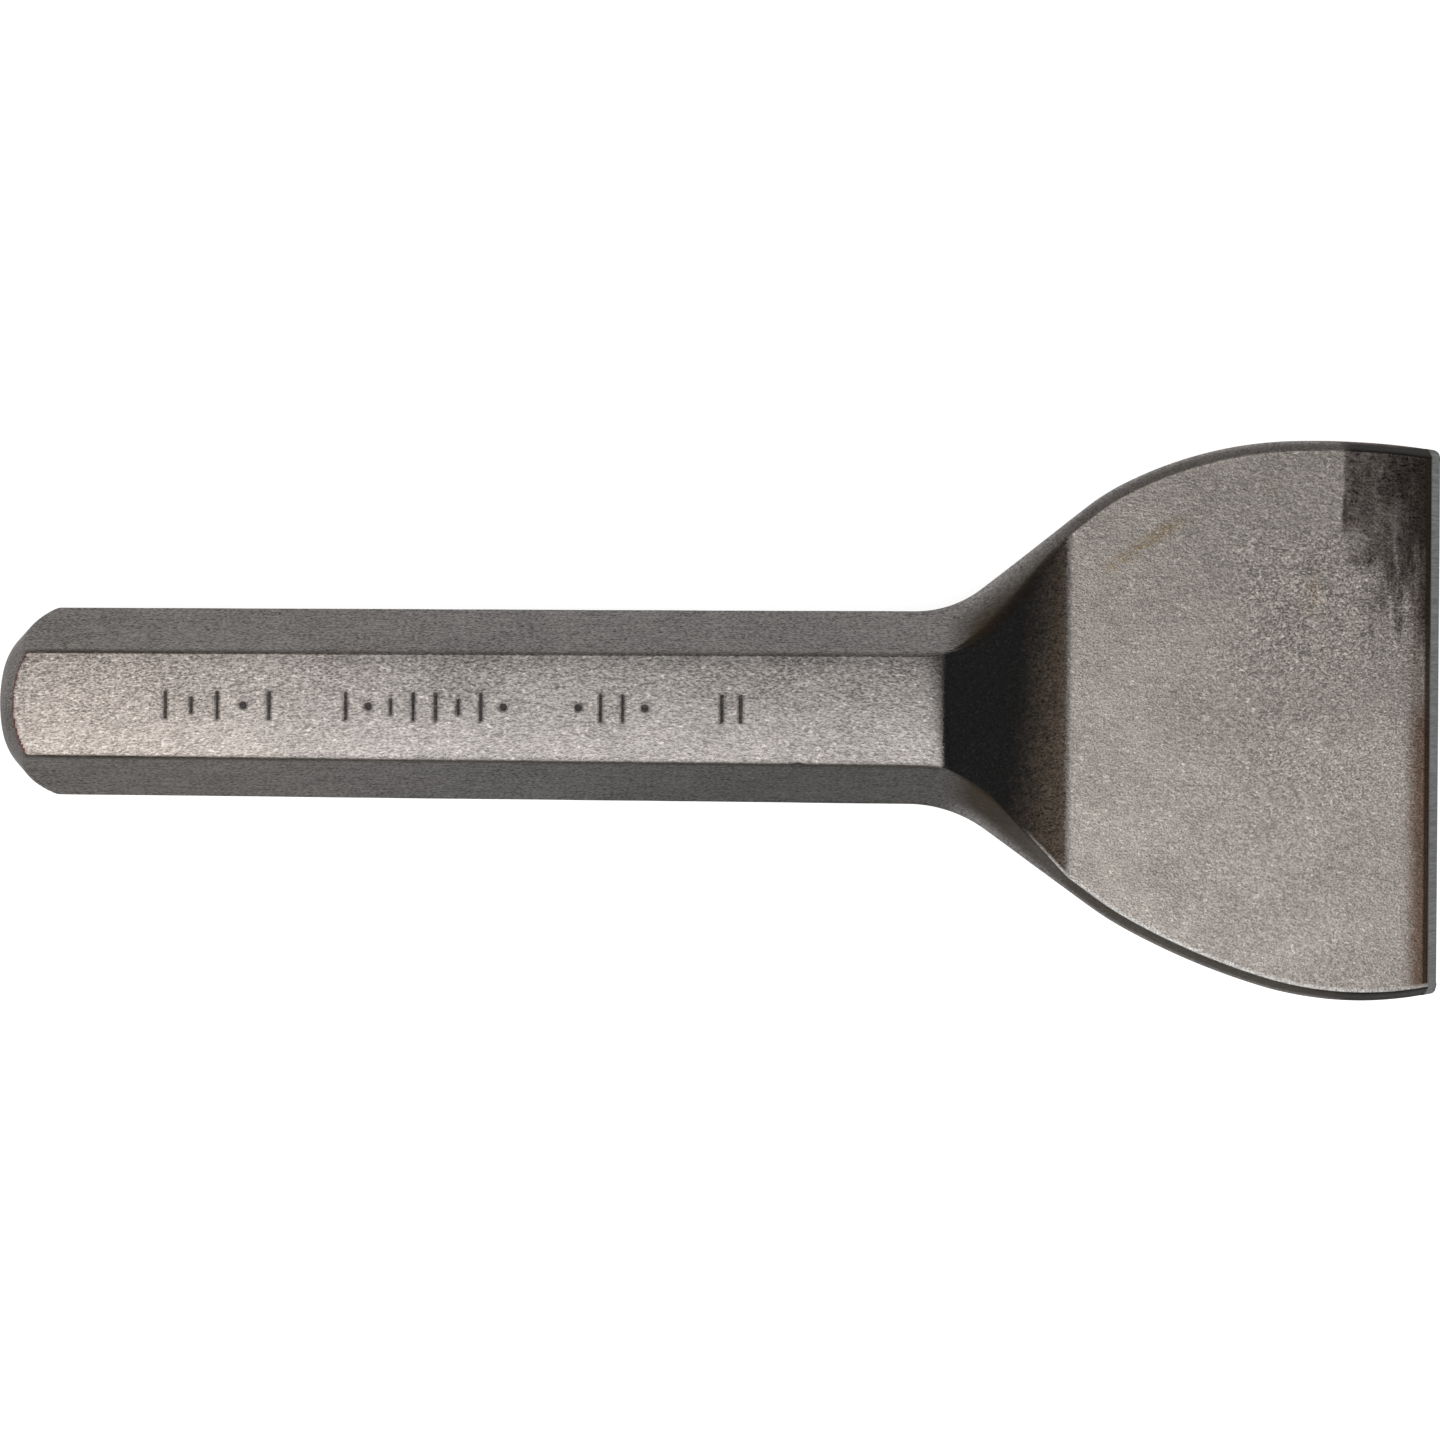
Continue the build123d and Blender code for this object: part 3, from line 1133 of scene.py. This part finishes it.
    def corner_patch(self):
        """Dark oxide in one corner of the blade: how much of it lies where, and its colour."""
        smear, cloud = self.noise(SMEAR), self.noise(CLOUD)
        grain = self.grain
        corner = self.times(
            self.rise(self.total(self.x, self.swing(smear, 1.2)), *CORNER_X),
            self.rise(self.total(self.y, self.swing(grain, 3.0)), *CORNER_Y),
        )
        smeared_x = self.total(self.x, self.swing(cloud, 10.0))
        smeared_y = self.total(self.y, self.swing(smear, 26.0), self.swing(grain, 5.0))
        smeared = self.times(
            self.rise(smeared_x, *SMEARED_X), self.rise(smeared_y, *SMEARED_Y)
        )
        beside_bevel = self.times(
            self.rise(self.total(self.x, self.swing(grain, 0.8)), *BESIDE_BEVEL_X),
            self.rise(self.y, 3.0, 14.0),
        )
        blackest_x = self.total(self.x, self.swing(cloud, 5.0), self.swing(smear, 4.0))
        blackest = self.larger(beside_bevel, self.rise(blackest_x, *BLACKEST_X))
        uneven = self.total(self.swing(cloud, 0.9), self.swing(smear, 0.8))
        cover = self.total(
            0.88,
            self.times(blackest, 0.12),
            self.times(uneven, self.total(1.0, self.times(blackest, -0.75))),
        )
        patch = self.larger(self.larger(corner, smeared), self.times(beside_bevel, COVER))
        patch = self.times(patch, self.upper, cover, clamp=True)
        level = self.total(1.0, self.swing(self.fine, 4.0), self.swing(grain, 2.0))
        oxide = self.tint(self.times(blackest, COVER), OXIDE_DARK, OXIDE_BLACK)
        return patch, self.scaled_colour(oxide, level)

    def with_ground_edge(self, colour, patch):
        """Add the ground bevel, with heat tint and a dark line beside it."""
        heated = self.total(self.x, self.swing(self.blotch, 1.6))
        tinted = self.times(
            self.rise(heated, *HEAT_X),
            self.total(0.45, self.times(self.rise(self.y, 4.0, -3.0), 0.5)),
            self.invert(self.facet),
            self.total(1.0, self.times(patch, -0.75)),
        )
        colour = self.tint(tinted, colour, self.scaled_colour(HEAT_AMBER, self.level))
        grind = self.total(1.0, self.swing(self.noise(GRIND), 1.6))
        colour = self.tint(self.ground, colour, self.scaled_colour(GROUND_STEEL, grind))
        line = self.band(self.x, BEVEL_START - 0.75, BEVEL_START + 0.05, 0.2)
        return self.tint(self.times(line, COVER), colour, DARK_BROWN)

    def with_soot(self, colour):
        """Add the painted shade on the facets of the neck and on the rims."""
        level = self.total(
            1.0,
            self.swing(self.streak, 0.4),
            self.swing(self.grain, 0.5),
            self.times(self.right_side, 0.10),
        )
        # how strongly the painted shade covers each point
        shade_share = self.times(self.soot, level, clamp=True)
        shade_colour = self.tint(self.rise(self.x, *SHADE_AT_EDGE_X), DARK_BROWN, SHADE_AT_EDGE)
        return self.tint(self.times(shade_share, self.invert(self.ground)), colour, shade_colour)

    def highlight_share(self):
        """How much painted highlight lies along the rims."""
        uneven = self.total(1.0, self.swing(self.fine, 2.4))
        return self.times(self.painted_highlight, uneven, self.invert(self.ground), clamp=True)

    def add_surface(self, colour, highlight):
        """The metal itself, with its relief and roughness."""
        height = self.total(
            self.times(self.fine, 0.8),
            self.times(self.grain, 0.8),
            self.times(self.pit, -0.15),
            self.times(self.crease, -0.6),
        )
        calm = self.mix(self.larger(self.facet, self.ground), 1.0, CALM_RELIEF)
        relief = self.node("ShaderNodeBump", (
            ("Strength", 1.0),
            ("Distance", BUMP_DEPTH * MM),
            ("Height", self.times(height, calm)),
        ))
        roughness = self.total(
            ROUGHNESS,
            self.swing(self.fine, 0.3),
            self.times(self.facet, -0.04),
            self.times(highlight, -0.10),
        )
        self.surface(
            ("Metallic", 1.0),
            ("Specular Tint", GRAZING_TINT),
            ("Base Color", colour),
            ("Roughness", roughness),
            ("Normal", relief.outputs["Normal"]),
        )


# -------- studio

FLOOR_HALF = 3.0
FLOOR_TONE = (0.85, 0.85, 0.85)
FLOOR_GLOW = 0.74  # the floor's own light, which makes it read as white paper
SENSOR_WIDTH = 36.0
CAMERA_HEIGHT = 0.375
FRAME_WIDTH = 0.1970
CAMERA_TURN = 0.45
CAMERA_SHIFT_Y = -0.0019
CAMERA_ASIDE = 0.0165  # the lens stands this far towards +Y from the frame's centre
CLIP_NEAR, CLIP_FAR = 0.01, 20.0
SOFTBOX_PLACE = (-0.06, -0.20, 0.80)
SOFTBOX_SIZE = 0.70
SOFTBOX_POWER = 2.15
SURROUND = ((0.0, 0.9), (0.22, 0.85), (0.52, 0.46), (1.0, 0.16))  # height, tone


def make_floor():
    """A plain pale floor."""
    mesh = bpy.data.meshes.new("studio_floor")
    signs = ((-1, -1), (1, -1), (1, 1), (-1, 1))
    corners = [(FLOOR_HALF * x, FLOOR_HALF * y, 0.0) for x, y in signs]
    mesh.from_pydata(corners, [], [(0, 1, 2, 3)])
    floor = bpy.data.objects.new("studio_floor", mesh)
    bpy.context.collection.objects.link(floor)
    shade = Shade("studio_floor")
    shade.surface(
        ("Base Color", FLOOR_TONE),
        ("Roughness", 0.9),
        ("Specular IOR Level", 0.1),
        ("Emission Color", (1.0, 1.0, 1.0)),
        ("Emission Strength", FLOOR_GLOW),
    )
    mesh.materials.append(shade.material)


def add_softbox():
    """A square soft light, turned to face the tool."""
    light = bpy.data.lights.new("overhead", "AREA")
    light.shape = "RECTANGLE"
    light.size = light.size_y = SOFTBOX_SIZE
    light.energy = SOFTBOX_POWER
    lamp = bpy.data.objects.new("overhead", light)
    lamp.location = SOFTBOX_PLACE
    lamp.rotation_euler = (-Vector(SOFTBOX_PLACE)).to_track_quat("-Z", "Y").to_euler()
    bpy.context.collection.objects.link(lamp)


def make_world():
    """A pale sweep near the horizon with a dark surround above it."""
    world = bpy.data.worlds.new("studio")
    bpy.context.scene.world = world
    world.use_nodes = True
    nodes, links = world.node_tree.nodes, world.node_tree.links
    nodes.clear()
    direction = nodes.new("ShaderNodeTexCoord")
    split = nodes.new("ShaderNodeSeparateXYZ")
    ramp = nodes.new("ShaderNodeValToRGB")
    background = nodes.new("ShaderNodeBackground")
    output = nodes.new("ShaderNodeOutputWorld")
    ramp.color_ramp.interpolation = "EASE"
    stops = ramp.color_ramp.elements
    for stop, (height, tone) in zip(stops, (SURROUND[0], SURROUND[-1])):
        stop.position, stop.color = height, (tone, tone, tone, 1.0)
    for height, tone in SURROUND[1:-1]:
        stops.new(height).color = (tone, tone, tone, 1.0)
    links.new(direction.outputs["Generated"], split.inputs[0])
    links.new(split.outputs["Z"], ramp.inputs["Fac"])
    links.new(ramp.outputs["Color"], background.inputs["Color"])
    background.inputs["Strength"].default_value = 1.0
    links.new(background.outputs[0], output.inputs["Surface"])


def make_camera():
    """A camera straight above the tool, close enough for its faces to spread a little."""
    centre = (CAD_BOX[0] + CAD_BOX[1]) / 2
    data = bpy.data.cameras.new("camera")
    data.sensor_width = SENSOR_WIDTH
    data.lens = SENSOR_WIDTH * CAMERA_HEIGHT / FRAME_WIDTH
    data.clip_start, data.clip_end = CLIP_NEAR, CLIP_FAR
    camera = bpy.data.objects.new("camera", data)
    aim_y = AXIS_Y * MM + CAMERA_SHIFT_Y
    camera.location = (centre.x, aim_y + CAMERA_ASIDE, centre.z + CAMERA_HEIGHT)
    data.shift_y = -CAMERA_ASIDE / FRAME_WIDTH
    camera.rotation_euler = (0.0, 0.0, math.radians(CAMERA_TURN))
    bpy.context.collection.objects.link(camera)
    bpy.context.scene.camera = camera


make_camera()
make_floor()
make_world()
add_softbox()
bpy.context.scene.view_settings.view_transform = "Standard"

forging = make_forging()
forging.data.materials.append(ForgedSteel().material)
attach(forging, "root")
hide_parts("forged_chisel")
